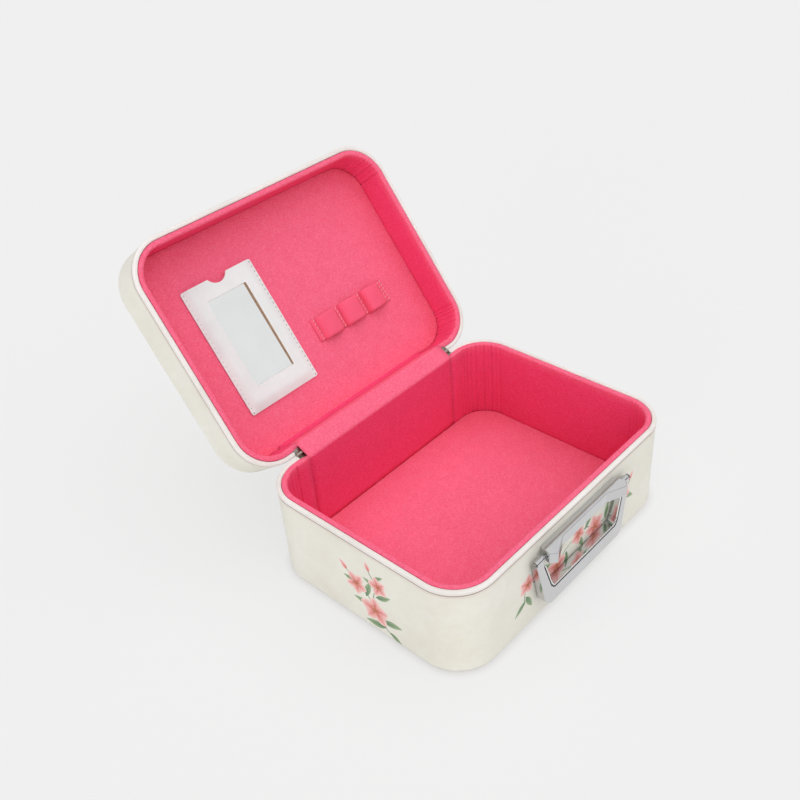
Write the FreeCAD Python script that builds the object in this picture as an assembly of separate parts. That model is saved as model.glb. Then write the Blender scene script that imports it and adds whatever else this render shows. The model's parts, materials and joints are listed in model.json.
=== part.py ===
"""Hard-shell vanity case with a hinged lid, a swinging handle, a slide-out mirror and felt lining.

Millimetres. The origin is the middle of the base's underside, +Z is up, the handle faces -Y and
the hinge runs along +X at the back. The model stands with its lid open against the felt strip.
"""
import FreeCAD, Part
import math
import os

# Case shell
case_width = 240.0
case_depth = 180.0
base_height = 74.0
lid_height = 34.0
corner_radius = 31.0
edge_round = 3.2
rim_gap = 0.5
lid_open_angle = 127.0

# Layers of the walls, floor and lid panel, from the outside in
cover_thickness = 0.8
board_thickness = 2.6
lining_thickness = 4.2
pad_thickness = 3.6
base_turn_in = 14.0
lid_turn_in = 5.0
glue_gap = 0.1
pad_gap = 0.3
lip_round = 1.5
pad_round = 1.2

# Rolled piping round each rim
piping_width = 3.2
piping_height = 2.8
piping_proud = 0.3
piping_outer_round = 1.5
piping_inner_round = 1.2
piping_foot_round = 0.6
seam_groove = 0.4

# Piano hinge and the felt strip that stops the lid
hinge_length = 166.0
hinge_proud = 0.3
knuckle_radius = 1.7
knuckle_count = 21
knuckle_gap = 0.2
hinge_pin_radius = 0.8
running_clearance = 0.05
hinge_clearance = 0.3
leaf_thickness = 0.7
leaf_drop = 15.0
rivet_count = 5
rivet_radius = 1.4
rivet_margin = 14.0
rivet_drop = 9.5
strip_length = 156.0
strip_thickness = 1.0
strip_clearance = 0.15
back_lining_thickness = 3.3
back_lining_drop = 0.3

# Handle mount on the front wall
mount_length = 84.5
mount_bottom_z = 55.5
mount_height = 9.0
mount_mid_depth = 6.1
mount_mid_length = 51.0
lug_flare = 2.0
lug_shoulder_depth = 8.9
lug_depth = 12.7
lug_tip_inset = 2.2
mount_edge_round = 0.7
screw_spacing = 66.0
screw_radius = 1.5
screw_reach = 5.0
screw_head_radius = 2.8
screw_head_height = 1.6
washer_radius = 3.6
washer_thickness = 0.5
pocket_clearance = 0.3

# Bail that swings on two pins in the mount's lugs
pivot_offset = 4.2
pivot_rise = 2.8
pivot_radius = 1.5
pivot_seat_depth = 6.5
pivot_head_radius = 2.1
pivot_head_length = 1.4
pivot_head_round = 0.9
arm_side_gap = 2.4
arm_top_width = 6.8
arm_outer_lean = 9.1
arm_inner_lean = 9.4
bail_drop = 42.8
grip_height = 13.0
bail_knuckle_radius = 2.2
bail_knuckle_proud = 0.3
bail_knuckle_inset = 0.2
bail_wall_gap = 0.9
grip_depth = 7.5
bail_outer_round = 8.0
bail_inner_round = 3.0
bail_edge_round = 0.6

# Mirror in its pocket on the lid panel
pocket_width = 65.0
pocket_length = 101.0
pocket_centre_x = -50.0
pocket_centre_y = 1.6
pocket_sheet_thickness = 1.0
pocket_hem_width = 3.5
window_width = 36.0
window_length = 70.0
window_shift_y = -1.4
notch_width = 17.0
notch_depth = 5.3
glass_thickness = 1.5
backing_thickness = 0.5
mirror_length = 90.0
mirror_clearance = 0.3

# Elastic tape sewn down into loops on the lid panel
loop_count = 3
loop_pitch = 24.6
loop_start_x = 3.0
loop_centre_y = 23.6
tape_width = 19.0
tape_thickness = 1.1
loop_clear_height = 4.4
seam_half_width = 1.5

# Closure magnets hidden in the front lip
magnet_length = 12.0
magnet_width = 2.2
magnet_height = 3.0
magnet_spacing = 110.0
magnet_cover = 1.0
magnet_clearance = 0.1

# Derived places
wall_thickness = cover_thickness + board_thickness + lining_thickness
board_face = cover_thickness + board_thickness
floor_top = board_face + pad_thickness
hinge_y = case_depth / 2 + hinge_proud
hinge_z = base_height + rim_gap / 2
hinge_relief = knuckle_radius + hinge_clearance - rim_gap / 2
front_y = -case_depth / 2
pivot_y = front_y - pivot_offset
pivot_z = mount_bottom_z + pivot_rise
knuckle_pitch = hinge_length / knuckle_count
X_AXIS = FreeCAD.Vector(1, 0, 0)
Y_AXIS = FreeCAD.Vector(0, 1, 0)
Z_AXIS = FreeCAD.Vector(0, 0, 1)


def vec(x, y, z):
    return FreeCAD.Vector(x, y, z)


def box(x0, x1, y0, y1, z0, z1):
    """Block between two corners."""
    return Part.makeBox(x1 - x0, y1 - y0, z1 - z0, vec(x0, y0, z0))


def rod_x(radius, x0, x1, y, z):
    """Round bar along X."""
    return Part.makeCylinder(radius, x1 - x0, vec(x0, y, z), X_AXIS)


def rod_y(radius, y0, y1, x, z):
    """Round bar along Y."""
    return Part.makeCylinder(radius, y1 - y0, vec(x, y0, z), Y_AXIS)


def prism(points, direction):
    """Solid made by pushing a polygon along a direction."""
    outline = Part.makePolygon(points + points[:1])
    return Part.Face(outline).extrude(direction)


def slab(inset, z0, z1):
    """Solid with the case's rounded plan, drawn in by an inset."""
    half_w = case_width / 2 - inset
    half_d = case_depth / 2 - inset
    radius = corner_radius - inset
    mid = radius * math.sqrt(0.5)
    edges = []
    for sx, sy in ((1, 1), (-1, 1), (-1, -1), (1, -1)):
        cx = sx * (half_w - radius)
        cy = sy * (half_d - radius)
        side_end = vec(sx * half_w, cy, z0)
        face_end = vec(cx, sy * half_d, z0)
        corner = vec(cx + sx * mid, cy + sy * mid, z0)
        edges.append(Part.Arc(side_end, corner, face_end).toShape())
    for sign in (1, -1):
        flat_x = half_w - radius
        flat_y = half_d - radius
        face_y = sign * half_d
        side_x = sign * half_w
        edges.append(Part.LineSegment(vec(-flat_x, face_y, z0), vec(flat_x, face_y, z0)).toShape())
        edges.append(Part.LineSegment(vec(side_x, -flat_y, z0), vec(side_x, flat_y, z0)).toShape())
    outline = Part.Wire(Part.__sortEdges__(edges))
    return Part.Face(outline).extrude(vec(0, 0, z1 - z0))


def ring(outer_inset, inner_inset, z0, z1):
    """Hoop that follows the case's rounded plan."""
    return slab(outer_inset, z0, z1).cut(slab(inner_inset, z0 - 1, z1 + 1))


def level_edges(shape, z, pick=None):
    """Edges that lie flat at one height, all of them or those that pick accepts."""
    found = []
    for edge in shape.Edges:
        bounds = edge.BoundBox
        flat = abs(bounds.ZMin - z) < 1e-4 and abs(bounds.ZMax - z) < 1e-4
        if flat and (pick is None or pick(edge)):
            found.append(edge)
    return found


def on_outline(inset):
    """Test for edges on the case's plan at an inset."""
    half_w = case_width / 2 - inset
    half_d = case_depth / 2 - inset
    flat_x = case_width / 2 - corner_radius
    flat_y = case_depth / 2 - corner_radius
    radius = corner_radius - inset

    def test(edge):
        point = edge.valueAt((edge.FirstParameter + edge.LastParameter) / 2)
        over_x = abs(point.x) - flat_x
        over_y = abs(point.y) - flat_y
        if over_x > 1e-6 and over_y > 1e-6:
            return abs(math.hypot(over_x, over_y) - radius) < 1e-4
        on_side = abs(abs(point.x) - half_w) < 1e-4
        on_face = abs(abs(point.y) - half_d) < 1e-4
        return on_side or on_face

    return test


def hinge_zone(height):
    """Block round the hinge at the back of a rim, where the piping stops."""
    half = hinge_length / 2 + hinge_clearance
    back = case_depth / 2
    reach = wall_thickness
    return box(-half, half, back - reach, back + reach, height - reach, height + reach)


def cover_band(height, turn_in):
    """Outer cover of the walls, turned in under the floor and eased for the hinge."""
    top = height - hinge_relief
    outer = slab(0, 0, top)
    outer = outer.makeFillet(edge_round, level_edges(outer, 0))
    inner = slab(cover_thickness, cover_thickness, top + 1)
    inner_round = edge_round - cover_thickness
    inner = inner.makeFillet(inner_round, level_edges(inner, cover_thickness))
    band = outer.cut(inner).cut(slab(turn_in, -1, board_face))
    seam_z = height - piping_height - seam_groove
    rim_space = slab(-wall_thickness, seam_z, height).cut(hinge_zone(height))
    return band.cut(rim_space)


def floor_cover(turn_in):
    """Sheet that closes the cover under the floor."""
    return slab(turn_in + glue_gap, 0, cover_thickness)


def floor_board():
    """Floor board with its lower edge rounded to the cover."""
    board = slab(cover_thickness + glue_gap, cover_thickness, board_face)
    return board.makeFillet(edge_round - cover_thickness, level_edges(board, cover_thickness))


def wall_hoop(height):
    """Bent board that stiffens the walls, higher at the hinge."""
    hoop = ring(cover_thickness + glue_gap, board_face, board_face, height - hinge_relief)
    seat_z = height - piping_height
    rim_space = slab(-wall_thickness, seat_z, height).cut(hinge_zone(height))
    return hoop.cut(rim_space)


def rim_piping(height):
    """Rolled bead on the rim, open at the hinge."""
    foot = height - piping_height
    bead = ring(-piping_proud, piping_width, foot, height)
    bead = bead.makeFillet(piping_outer_round, level_edges(bead, height, on_outline(-piping_proud)))
    bead = bead.makeFillet(piping_inner_round, level_edges(bead, height, on_outline(piping_width)))
    bead = bead.makeFillet(piping_foot_round, level_edges(bead, foot, on_outline(-piping_proud)))
    return bead.cut(hinge_zone(height))


def wall_lining(height):
    """Felt-covered liner of the front, sides and corners, with a rounded lip."""
    liner = ring(board_face + glue_gap, wall_thickness, board_face, height)
    liner = liner.makeFillet(lip_round, level_edges(liner, height))
    half = strip_length / 2
    liner = liner.cut(box(-half, half, 0, case_depth, 0, height + 1))
    reach = hinge_length / 2 + hinge_clearance
    plate_front = case_depth / 2 - board_face - leaf_thickness - glue_gap
    plate_low = height - leaf_drop - glue_gap
    return liner.cut(box(-reach, reach, plate_front, case_depth, plate_low, height + 1))


def back_lining(height):
    """Felt-covered liner of the back wall, behind which the hinge leaf lies."""
    half = strip_length / 2 - glue_gap
    face_y = case_depth / 2 - wall_thickness
    back_y = face_y + back_lining_thickness
    return box(-half, half, face_y, back_y, board_face, height - back_lining_drop)


def floor_pad():
    """Felt-covered pad on the floor board."""
    pad = slab(wall_thickness + pad_gap, board_face, floor_top)
    return pad.makeFillet(pad_round, level_edges(pad, floor_top))


def knuckle_spans(first):
    """Start and end of every second knuckle."""
    spans = []
    for k in range(first, knuckle_count, 2):
        start = -hinge_length / 2 + k * knuckle_pitch
        spans.append((start + knuckle_gap / 2, start + knuckle_pitch - knuckle_gap / 2))
    return spans


def rivet_places(height):
    """Centres of the rivets along a hinge leaf."""
    first = -hinge_length / 2 + rivet_margin
    step = (hinge_length - 2 * rivet_margin) / (rivet_count - 1)
    return [(first + k * step, height - rivet_drop) for k in range(rivet_count)]


def rivets(height):
    """Flush rivets through a hinge leaf and the wall board."""
    outside = case_depth / 2 - cover_thickness - glue_gap
    inside = case_depth / 2 - board_face - leaf_thickness
    return [rod_y(rivet_radius, inside, outside, x, z) for x, z in rivet_places(height)]


def hinge_leaf(height, first, bore):
    """Cranked piano-hinge leaf: knuckles, a flange over the board and a plate inside it."""
    axis_z = height + rim_gap / 2
    half = hinge_length / 2
    plate_back = case_depth / 2 - board_face
    plate_front = plate_back - leaf_thickness
    flange_z = axis_z - knuckle_radius
    leaf = box(-half, half, plate_front, hinge_y, flange_z, flange_z + leaf_thickness)
    leaf = leaf.fuse(box(-half, half, plate_front, plate_back, height - leaf_drop, flange_z))
    for x0, x1 in knuckle_spans(1 - first):
        clear = knuckle_radius + hinge_clearance
        leaf = leaf.cut(rod_x(clear, x0 - knuckle_gap, x1 + knuckle_gap, hinge_y, axis_z))
    for x0, x1 in knuckle_spans(first):
        leaf = leaf.fuse(rod_x(knuckle_radius, x0, x1, hinge_y, axis_z))
    leaf = leaf.cut(rod_x(bore, -half - 1, half + 1, hinge_y, axis_z))
    for rivet in rivets(height):
        leaf = leaf.cut(rivet)
    return leaf.removeSplitter()


def with_holes(shape, tools):
    """Shape with each tool cut from it."""
    for tool in tools:
        shape = shape.cut(tool)
    return shape


def magnet_blocks(height, clearance):
    """Bar magnets behind the front lip, or the pockets that hold them."""
    top = height - magnet_cover
    outer_y = front_y + board_face + glue_gap
    blocks = []
    for sign in (-1, 1):
        centre = sign * magnet_spacing / 2
        half = magnet_length / 2 + clearance
        y1 = outer_y + magnet_width + clearance
        z0 = top - magnet_height - clearance
        blocks.append(box(centre - half, centre + half, outer_y, y1, z0, top + clearance))
    return blocks


def screw_places():
    """Centres of the handle screws on the front wall."""
    z = mount_bottom_z + mount_height / 2
    return [(sign * screw_spacing / 2, z) for sign in (-1, 1)]


def handle_shanks():
    """Shanks of the handle screws through the wall into the mount."""
    inside = front_y + board_face
    return [rod_y(screw_radius, front_y - screw_reach, inside, x, z) for x, z in screw_places()]


def handle_screws():
    """Pan-head screws that hold the mount from inside."""
    seat = front_y + board_face + washer_thickness
    screws = []
    for x, z in screw_places():
        shank = rod_y(screw_radius, front_y - screw_reach, seat, x, z)
        head = rod_y(screw_head_radius, seat, seat + screw_head_height, x, z)
        screws.append(shank.fuse(head).removeSplitter())
    return screws


def handle_washers():
    """Washers under the screw heads."""
    inside = front_y + board_face
    washers = []
    for x, z in screw_places():
        disc = rod_y(washer_radius, inside, inside + washer_thickness, x, z)
        washers.append(disc.cut(rod_y(screw_radius, inside - 1, inside + 1, x, z)))
    return washers


def head_pockets():
    """Room for the screw heads in the front liner."""
    inside = front_y + board_face
    depth = washer_thickness + screw_head_height + pocket_clearance
    radius = washer_radius + pocket_clearance
    return [rod_y(radius, inside, inside + depth, x, z) for x, z in screw_places()]


def handle_mount():
    """Cast bar on the front wall with a lug standing out at each end."""
    half = mount_length / 2
    right = [
        (half, 0),
        (half + lug_flare, lug_shoulder_depth),
        (half - lug_tip_inset, lug_depth),
        (mount_mid_length / 2, mount_mid_depth),
    ]
    left = [(-x, out) for x, out in reversed(right)]
    points = [vec(x, front_y - out, mount_bottom_z) for x, out in right + left]
    bar = prism(points, vec(0, 0, mount_height))
    rounded = [e for e in bar.Edges if e.BoundBox.YMin < front_y - 1e-3]
    bar = bar.makeFillet(mount_edge_round, rounded)
    return with_holes(bar, handle_shanks() + pivot_shanks())


def arm_start():
    """Distance of the arms' inner faces from the middle at the pivot."""
    return mount_length / 2 + lug_flare + arm_side_gap


def pivot_shanks():
    """Pivot pins, from inside each lug to just past its arm."""
    inner = mount_length / 2 - pivot_seat_depth
    outer = arm_start() + arm_top_width + hinge_clearance
    right = rod_x(pivot_radius, inner, outer, pivot_y, pivot_z)
    left = rod_x(pivot_radius, -outer, -inner, pivot_y, pivot_z)
    return [right, left]


def pivot_pins():
    """Pins with domed heads outside the arms."""
    outer = arm_start() + arm_top_width + hinge_clearance
    far = outer + pivot_head_length
    right, left = pivot_shanks()
    pins = []
    for shank, x0, x1, end in ((right, outer, far, far), (left, -far, -outer, -far)):
        head = rod_x(pivot_head_radius, x0, x1, pivot_y, pivot_z)
        rim = [e for e in head.Edges if e.BoundBox.XLength < 1e-4 and abs(e.BoundBox.XMin - end) < 1e-4]
        head = head.makeFillet(pivot_head_round, rim)
        pins.append(shank.fuse(head).removeSplitter())
    return pins


def bail():
    """Hanging handle: two leaning arms and a grip, thicker towards the grip."""
    bottom = pivot_z - bail_drop
    grip_top = bottom + grip_height
    inner_top = arm_start()
    outer_top = inner_top + arm_top_width
    inner_low = inner_top - arm_inner_lean
    outer_low = outer_top - arm_outer_lean
    back = front_y - bail_wall_gap
    front = back - grip_depth
    depth = vec(0, front - back - 1, 0)
    outer = [(outer_low, bottom), (outer_top, pivot_z), (-outer_top, pivot_z), (-outer_low, bottom)]
    above = pivot_z + bail_knuckle_radius
    inner = [(inner_low, grip_top), (inner_top, pivot_z), (inner_top, above)]
    inner = inner + [(-x, z) for x, z in reversed(inner)]
    frame = prism([vec(x, back, z) for x, z in outer], depth)
    low = [e for e in frame.Edges if upright_y(e) and e.BoundBox.ZMax < bottom + 1e-3]
    frame = frame.makeFillet(bail_outer_round, low)
    opening = prism([vec(x, back + 1, z) for x, z in inner], vec(0, front - back - 3, 0))
    low = [e for e in opening.Edges if upright_y(e) and e.BoundBox.ZMax < grip_top + 1e-3]
    opening = opening.makeFillet(bail_inner_round, low)
    frame = frame.cut(opening)
    arm_front = pivot_y - bail_knuckle_radius + bail_knuckle_proud
    side = [(back, bottom), (front, bottom), (arm_front, pivot_z), (back, pivot_z)]
    half = outer_top + 1
    frame = frame.common(prism([vec(-half, y, z) for y, z in side], vec(2 * half, 0, 0)))
    frame = frame.removeSplitter()
    slope = (arm_front - front) / bail_drop

    def long_edge(edge):
        ends = [v.Point for v in edge.Vertexes]
        on_front = all(abs(p.y - front - slope * (p.z - bottom)) < 1e-3 for p in ends)
        on_back = all(abs(p.y - back) < 1e-3 for p in ends)
        return (on_front or on_back) and edge.BoundBox.ZMin < pivot_z - 1e-3

    frame = frame.makeFillet(bail_edge_round, [e for e in frame.Edges if long_edge(e)])
    knuckle_start = inner_top - arm_side_gap + hinge_clearance
    for sign in (-1, 1):
        ends = (sign * knuckle_start, sign * (outer_top - bail_knuckle_inset))
        frame = frame.fuse(rod_x(bail_knuckle_radius, min(ends), max(ends), pivot_y, pivot_z))
    bore = pivot_radius + running_clearance
    return frame.cut(rod_x(bore, -half, half, pivot_y, pivot_z)).removeSplitter()


def upright_y(edge):
    """True for an edge that runs along Y."""
    bounds = edge.BoundBox
    return bounds.XLength < 1e-4 and bounds.ZLength < 1e-4


def mirror_pocket():
    """Leatherette pocket, open and notched towards the lid's front edge, with a window."""
    x0 = -pocket_centre_x - pocket_width / 2
    x1 = x0 + pocket_width
    y0 = pocket_centre_y - pocket_length / 2
    y1 = y0 + pocket_length
    room = glass_thickness + backing_thickness + 2 * mirror_clearance
    sheet_z = floor_top + room
    top_z = sheet_z + pocket_sheet_thickness
    pocket = box(x0, x1, y0, y1, floor_top, top_z)
    hem = pocket_hem_width
    pocket = pocket.cut(box(x0 + hem, x1 - hem, y0 - 1, y1 - hem, floor_top - 1, sheet_z))
    mid_x = -pocket_centre_x
    mid_y = pocket_centre_y + window_shift_y
    half_w = window_width / 2
    half_l = window_length / 2
    window = box(mid_x - half_w, mid_x + half_w, mid_y - half_l, mid_y + half_l, sheet_z - 1, top_z + 1)
    half_notch = notch_width / 2
    arc = Part.Arc(
        vec(mid_x - half_notch, y0, sheet_z - 1),
        vec(mid_x, y0 + notch_depth, sheet_z - 1),
        vec(mid_x + half_notch, y0, sheet_z - 1),
    )
    lead = y0 - 1
    rim = Part.makePolygon([
        vec(mid_x + half_notch, y0, sheet_z - 1),
        vec(mid_x + half_notch, lead, sheet_z - 1),
        vec(mid_x - half_notch, lead, sheet_z - 1),
        vec(mid_x - half_notch, y0, sheet_z - 1),
    ])
    outline = Part.Wire([arc.toShape()] + rim.Edges)
    notch = Part.Face(outline).extrude(vec(0, 0, pocket_sheet_thickness + 2))
    return pocket.cut(window).cut(notch)


def mirror_layers():
    """Mirror glass and its backing card, resting on the pocket's bottom hem."""
    half = pocket_width / 2 - pocket_hem_width - mirror_clearance
    x0 = -pocket_centre_x - half
    x1 = -pocket_centre_x + half
    y1 = pocket_centre_y + pocket_length / 2 - pocket_hem_width - mirror_clearance
    y0 = y1 - mirror_length
    back_z = floor_top + mirror_clearance
    glass_z = back_z + backing_thickness
    backing = box(x0, x1, y0, y1, back_z, glass_z)
    glass = box(x0, x1, y0, y1, glass_z, glass_z + glass_thickness)
    return glass, backing


def arch(x0, x1, rise):
    """Circular segment standing on the lid panel, as wide as the tape."""
    y0 = loop_centre_y - tape_width / 2
    start = vec(x0, y0, floor_top)
    end = vec(x1, y0, floor_top)
    crown = vec((x0 + x1) / 2, y0, floor_top + rise)
    outline = Part.Wire([Part.Arc(start, crown, end).toShape(), Part.LineSegment(end, start).toShape()])
    return Part.Face(outline).extrude(vec(0, tape_width, 0))


def elastic_loops():
    """Tape that arches between sewn seams."""
    y0 = loop_centre_y - tape_width / 2
    y1 = y0 + tape_width
    tape = None
    for k in range(loop_count + 1):
        left = -loop_start_x - k * loop_pitch - seam_half_width
        right = left + 2 * seam_half_width
        foot = box(left, right, y0, y1, floor_top, floor_top + tape_thickness)
        tape = foot if tape is None else tape.fuse(foot)
    for k in range(loop_count):
        right = -loop_start_x - k * loop_pitch - seam_half_width
        left = right - loop_pitch + 2 * seam_half_width
        band = arch(left - tape_thickness / 2, right + tape_thickness / 2, loop_clear_height + tape_thickness)
        band = band.cut(arch(left + tape_thickness / 2, right - tape_thickness / 2, loop_clear_height))
        tape = tape.fuse(band)
    return tape.removeSplitter()


def open_lid(shape):
    """A piece made in the upturned lid's own frame, closed on the base and then swung open."""
    shape = shape.copy()
    shape.rotate(vec(0, 0, 0), Y_AXIS, 180)
    shape.translate(vec(0, 0, base_height + rim_gap + lid_height))
    shape.rotate(vec(0, hinge_y, hinge_z), X_AXIS, -lid_open_angle)
    return shape


def cover_strip():
    """Felt strip pulled tight between the two back linings over the hinge."""
    lift = strip_thickness / 2 + strip_clearance
    base_point = vec(0, case_depth / 2 - wall_thickness, base_height - back_lining_drop)
    lid_local = vec(0, case_depth / 2 - wall_thickness, lid_height - back_lining_drop)
    lid_point = open_lid(Part.Vertex(lid_local)).Point
    along = (lid_point - base_point).normalize()
    across = along.cross(X_AXIS)
    across = across if across.y < 0 else across.negative()
    half = strip_length / 2 - glue_gap
    near = lift - strip_thickness / 2
    far = lift + strip_thickness / 2
    corners = [
        base_point + across * near,
        base_point + across * far,
        lid_point + across * far,
        lid_point + across * near,
    ]
    return prism([c - X_AXIS * half for c in corners], X_AXIS * (2 * half))


def build():
    """All nodes by name."""
    base_rivets = rivets(base_height)
    lid_rivets = rivets(lid_height)
    shanks = handle_shanks()
    glass, backing = mirror_layers()
    liner_cuts = head_pockets() + magnet_blocks(base_height, magnet_clearance)
    nodes = {
        "base_cover": with_holes(cover_band(base_height, base_turn_in), shanks),
        "base_bottom_cover": floor_cover(base_turn_in),
        "base_bottom_board": floor_board(),
        "base_wall_hoop": with_holes(wall_hoop(base_height), shanks + base_rivets),
        "base_piping": rim_piping(base_height),
        "base_wall_lining": with_holes(wall_lining(base_height), liner_cuts),
        "base_back_lining": back_lining(base_height),
        "base_floor_pad": floor_pad(),
        "base_closure_magnets": Part.makeCompound(magnet_blocks(base_height, 0)),
        "hinge_base_leaf": hinge_leaf(base_height, 0, hinge_pin_radius),
        "hinge_pin": rod_x(hinge_pin_radius, -hinge_length / 2, hinge_length / 2, hinge_y, hinge_z),
        "base_hinge_rivets": Part.makeCompound(base_rivets),
        "hinge_cover_strip": cover_strip(),
        "handle_mount": handle_mount(),
        "handle_screws": Part.makeCompound(handle_screws()),
        "handle_washers": Part.makeCompound(handle_washers()),
        "handle_pivot_pins": Part.makeCompound(pivot_pins()),
        "bail_handle": bail(),
    }
    lid_nodes = {
        "lid_cover": cover_band(lid_height, lid_turn_in),
        "lid_top_cover": floor_cover(lid_turn_in),
        "lid_top_board": floor_board(),
        "lid_wall_hoop": with_holes(wall_hoop(lid_height), lid_rivets),
        "lid_piping": rim_piping(lid_height),
        "lid_wall_lining": with_holes(wall_lining(lid_height), magnet_blocks(lid_height, magnet_clearance)),
        "lid_back_lining": back_lining(lid_height),
        "lid_panel_pad": floor_pad(),
        "lid_closure_magnets": Part.makeCompound(magnet_blocks(lid_height, 0)),
        "hinge_lid_leaf": hinge_leaf(lid_height, 1, hinge_pin_radius + running_clearance),
        "lid_hinge_rivets": Part.makeCompound(lid_rivets),
        "mirror_pocket": mirror_pocket(),
        "elastic_loops": elastic_loops(),
        "mirror_glass": glass,
        "mirror_backing": backing,
    }
    for name, shape in lid_nodes.items():
        nodes[name] = open_lid(shape)
    return nodes


os.makedirs("parts", exist_ok=True)
for node_name, node_shape in build().items():
    node_shape.exportStep(os.path.join("parts", node_name + ".step"))
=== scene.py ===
import json
import math
import random

import bmesh
import bpy
from mathutils import Matrix, Vector, geometry, noise


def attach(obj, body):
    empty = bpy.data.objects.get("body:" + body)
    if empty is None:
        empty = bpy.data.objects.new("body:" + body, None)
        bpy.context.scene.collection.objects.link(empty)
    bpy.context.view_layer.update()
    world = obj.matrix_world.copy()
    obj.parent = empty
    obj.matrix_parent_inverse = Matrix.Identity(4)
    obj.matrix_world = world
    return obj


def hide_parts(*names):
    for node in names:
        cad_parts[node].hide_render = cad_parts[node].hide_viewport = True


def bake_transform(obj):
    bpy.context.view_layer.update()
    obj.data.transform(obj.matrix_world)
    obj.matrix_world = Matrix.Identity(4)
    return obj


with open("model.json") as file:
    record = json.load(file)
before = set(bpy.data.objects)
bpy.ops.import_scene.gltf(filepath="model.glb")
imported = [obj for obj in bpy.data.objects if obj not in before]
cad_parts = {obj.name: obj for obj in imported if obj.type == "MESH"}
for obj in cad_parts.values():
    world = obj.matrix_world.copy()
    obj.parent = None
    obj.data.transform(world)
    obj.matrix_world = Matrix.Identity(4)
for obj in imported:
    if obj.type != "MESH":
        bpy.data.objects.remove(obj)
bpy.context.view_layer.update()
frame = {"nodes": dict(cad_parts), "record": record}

# Sizes of the case in millimetres, as in the solids
CASE_W, CASE_D = 240.0, 180.0
BASE_H, LID_H = 74.0, 34.0
CORNER_R, EDGE_ROUND = 31.0, 3.2
RIM_GAP = 0.5
LID_ANGLE = 127.0
HINGE_Y, HINGE_Z = 90.3, 74.25
# From the outside to the board's inner face, and to the felt's face
BOARD_FACE, WALL = 3.4, 7.6
FLOOR_TOP = 7.0
STRIP_HALF, LEAF_HALF = 78.0, 83.4
PIPING_H, SEAM = 2.8, 0.4
MM = 0.001


def lid_place():
    """Matrix from the upturned lid's own frame in millimetres to the open lid in metres."""
    closed = Matrix.Translation((0, 0, BASE_H + RIM_GAP + LID_H)) @ Matrix.Rotation(math.pi, 4, "Y")
    hinge = Vector((0, HINGE_Y, HINGE_Z))
    turn = Matrix.Rotation(-math.radians(LID_ANGLE), 4, "X")
    swing = Matrix.Translation(hinge) @ turn @ Matrix.Translation(-hinge)
    return Matrix.Scale(MM, 4) @ swing @ closed


BASE_PLACE = Matrix.Scale(MM, 4)
LID_PLACE = lid_place()


def clamp(value):
    return min(max(value, 0.0), 1.0)


def quarter(steps, first=0):
    """Angles of a quarter turn in equal steps."""
    return [math.radians(90 * k / steps) for k in range(first, steps + 1)]


# Shader building, with the places of a colour mix node's sockets
MIX_FACTOR, MIX_A, MIX_B, MIX_RESULT = 0, 6, 7, 2
PLAIN = (1.0, 1.0, 1.0)


def shader(name):
    """New material with its node tree and its principled shader."""
    material = bpy.data.materials.new(name)
    material.use_nodes = True
    return material, material.node_tree, material.node_tree.nodes["Principled BSDF"]


def fill(tree, node, inputs):
    """Links each input to another node's socket, or sets it to a plain value."""
    for key, value in inputs.items():
        if isinstance(value, bpy.types.NodeSocket):
            tree.links.new(value, node.inputs[key])
        else:
            node.inputs[key].default_value = value


def add(tree, kind, inputs=None, **settings):
    """New shader node with its settings and inputs."""
    node = tree.nodes.new("ShaderNode" + kind)
    for key, value in settings.items():
        setattr(node, key, value)
    fill(tree, node, inputs or {})
    return node


def ramp(tree, factor, stops):
    """Colour between stops, each a place from 0 to 1 and a colour."""
    node = add(tree, "ValToRGB", {"Fac": factor})
    elements = node.color_ramp.elements
    while len(elements) < len(stops):
        elements.new(0.5)
    for element, (place, colour) in zip(elements, stops):
        element.position = place
        element.color = (*colour, 1)
    return node.outputs["Color"]


def mix(tree, factor, a, b, blend="MIX"):
    """Two colours mixed, or the second blended onto the first."""
    a, b = [(*colour, 1) if isinstance(colour, tuple) else colour for colour in (a, b)]
    inputs = {MIX_FACTOR: factor, MIX_A: a, MIX_B: b}
    return add(tree, "Mix", inputs, data_type="RGBA", blend_type=blend).outputs[MIX_RESULT]


def math_node(tree, operation, a, b):
    return add(tree, "Math", {0: a, 1: b}, operation=operation).outputs[0]


def weighted(tree, a, share_a, b, share_b):
    """Sum of two values, each times its share."""
    return math_node(tree, "ADD", math_node(tree, "MULTIPLY", a, share_a),
                     math_node(tree, "MULTIPLY", b, share_b))


def srgb(r, g, b):
    """Display colour from 0 to 255 as a linear one."""
    def one(v):
        v = v / 255.0
        return v / 12.92 if v <= 0.04045 else ((v + 0.055) / 1.055) ** 2.4
    return one(r), one(g), one(b)


def grey(level):
    return (level,) * 3


def darker(colour, share):
    return tuple(part * share for part in colour)


def coords(tree, scale=(1, 1, 1), rotation=(0, 0, 0)):
    where = add(tree, "TexCoord").outputs["Object"]
    return add(tree, "Mapping", {"Vector": where, "Scale": scale, "Rotation": rotation}).outputs["Vector"]


def noise_tex(tree, where, scale, detail, rough):
    inputs = {"Vector": where, "Scale": scale, "Detail": detail, "Roughness": rough}
    return add(tree, "TexNoise", inputs).outputs["Fac"]


def pebbles(tree, where):
    """Fine pebble grain of leatherette, which the ink on it follows."""
    cells = add(tree, "TexVoronoi", {"Vector": where, "Scale": 1500}, feature="SMOOTH_F1")
    return cells.outputs["Distance"]


def bump(tree, bsdf, height, strength, distance):
    node = add(tree, "Bump", {"Height": height, "Strength": strength, "Distance": distance})
    fill(tree, bsdf, {"Normal": node.outputs["Normal"]})


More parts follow.
